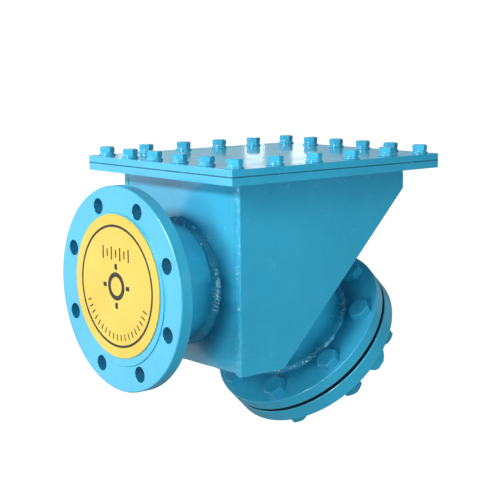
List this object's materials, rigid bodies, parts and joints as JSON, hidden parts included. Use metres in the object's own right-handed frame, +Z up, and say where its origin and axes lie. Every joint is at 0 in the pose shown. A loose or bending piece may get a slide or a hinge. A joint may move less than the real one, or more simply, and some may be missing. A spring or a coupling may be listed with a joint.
{
  "type": "basket strainer",
  "caption": "Welded box strainer with a flanged side inlet, a bolted top cover over a lift-out perforated basket, and a flanged 45 degree neck closed by a blind flange.",
  "frame": {"origin": "centre of the inlet flange on the face its bolt holes open in; the raised sealing face stands 2 mm in front of it", "axes": "+X along the inlet axis into the box, +Z up, -Y towards the near side plate"},
  "size_m": [0.4654, 0.333, 0.4152],
  "materials": {
    "enamel": "glossy light blue enamel over welded steel plate",
    "painted_fasteners": "the same glossy blue enamel, painted over the bolts after assembly",
    "gasket": "matt black sheet rubber",
    "basket_steel": "satin stainless sheet with punched holes",
    "disc_plastic": "satin yellow plastic sheet with a printed black ring"
  },
  "bodies": {
    "housing": {"inlet_flange": "enamel", "inlet_pipe": "enamel", "inlet_wall": "enamel", "side_wall_near": "enamel", "side_wall_far": "enamel", "back_wall": "enamel", "slant_wall": "enamel", "floor_plate": "enamel", "top_flange": "enamel", "top_gasket": "gasket", "basket_rails": "enamel", "leg_pipe": "enamel", "leg_flange": "enamel", "leg_bolts": "painted_fasteners", "leg_gasket": "gasket", "nozzle_welds": "enamel", "seam_welds": "enamel"},
    "cover": {"cover_plate": "enamel", "cover_bolts": "painted_fasteners", "cover_spring_washers": "painted_fasteners", "cover_flat_washers": "painted_fasteners"},
    "basket": {"basket_rim": "basket_steel", "basket_front": "basket_steel", "basket_side_near": "basket_steel", "basket_side_far": "basket_steel", "basket_slope_screen": "basket_steel", "basket_floor_screen": "basket_steel", "basket_lugs": "basket_steel"},
    "handle": {"basket_handle": "basket_steel"},
    "leg_cover": {"blind_flange": "enamel", "leg_nuts": "painted_fasteners", "cover_lug": "enamel"},
    "disc": {"inlet_disc": "disc_plastic"}
  },
  "joints": [
    {"name": "cover_lift", "type": "slide", "parent": "housing", "child": "cover", "axis": [0, 0, 1], "range_m": [0, 0.5]},
    {"name": "basket_lift", "type": "slide", "parent": "housing", "child": "basket", "axis": [0, 0, 1], "range_m": [0, 0.3]},
    {"name": "handle_swing", "type": "hinge", "parent": "basket", "child": "handle", "pos_m": [0.261, 0, 0.1425], "axis": [0, -1, 0], "range_deg": [0, 90.1]},
    {"name": "leg_cover_slide", "type": "slide", "parent": "housing", "child": "leg_cover", "axis": [0.7071, 0, -0.7071], "range_m": [0, 0.12]},
    {"name": "disc_pull", "type": "slide", "parent": "housing", "child": "disc", "axis": [-1, 0, 0], "range_m": [0, 0.06]}
  ],
  "couplings": [
    {"joint": "basket_lift", "follows": "cover_lift", "ratio": 0.6},
    {"joint": "handle_swing", "follows": "cover_lift", "rad_per_m": 3.1416}
  ]
}
